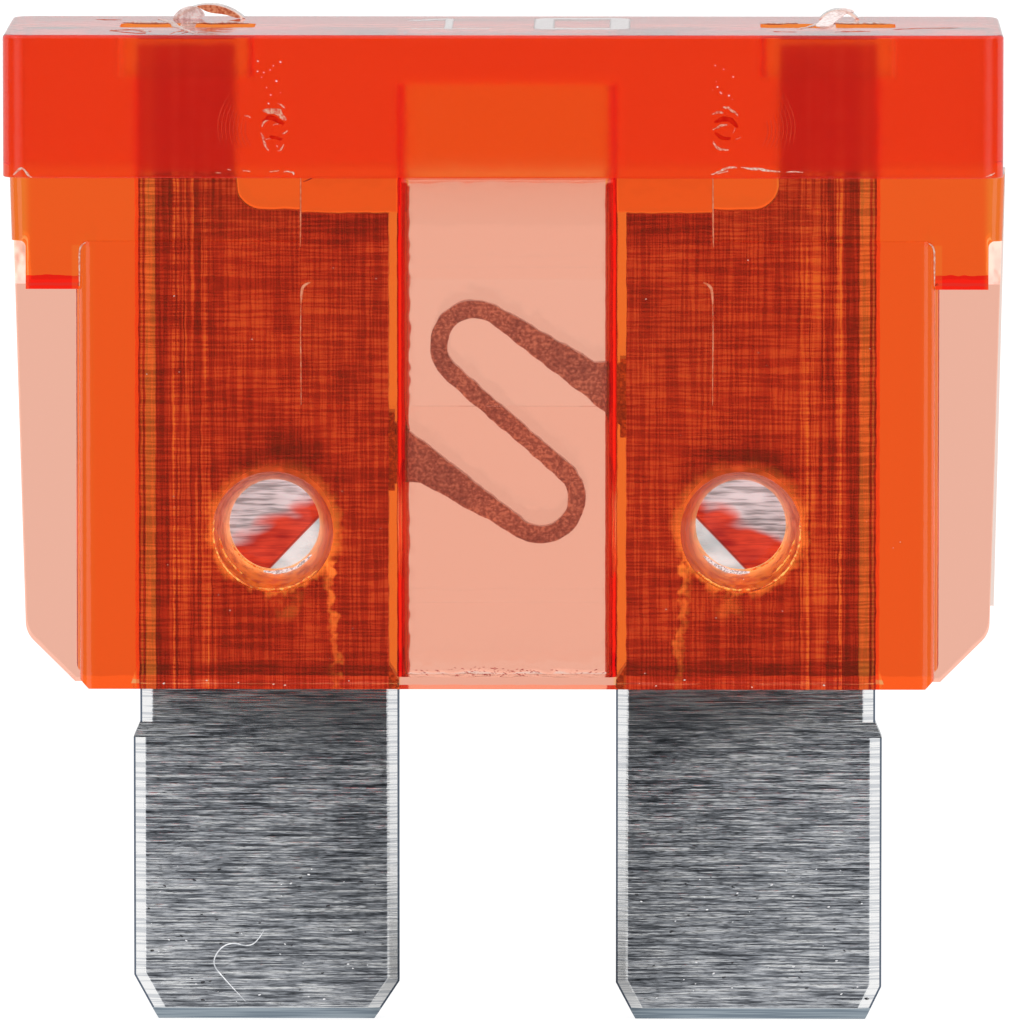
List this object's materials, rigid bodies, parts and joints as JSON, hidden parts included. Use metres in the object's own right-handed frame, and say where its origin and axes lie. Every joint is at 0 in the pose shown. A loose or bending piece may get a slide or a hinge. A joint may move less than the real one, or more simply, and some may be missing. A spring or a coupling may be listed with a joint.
{
  "type": "blade fuse",
  "caption": "Plug-in blade fuse: see-through moulded housing over a stamped metal element with two flat blades joined by a thin S-shaped melting link.",
  "frame": {"origin": "midway between the two blades, at the height of the blade tips, in the middle of the metal's thickness", "axes": "+Z from the blade tips up to the head, -Y towards the viewed front face, +X to the right along the row of blades"},
  "size_m": [0.0192, 0.0052, 0.0196],
  "materials": {
    "clear_red_plastic": "see-through moulded plastic, red-orange, gloss",
    "bare_zinc": "rolled zinc strip with fine lengthwise brushing"
  },
  "bodies": {
    "root": {"housing": "clear_red_plastic", "fuse_element": "bare_zinc"}
  },
  "joints": []
}
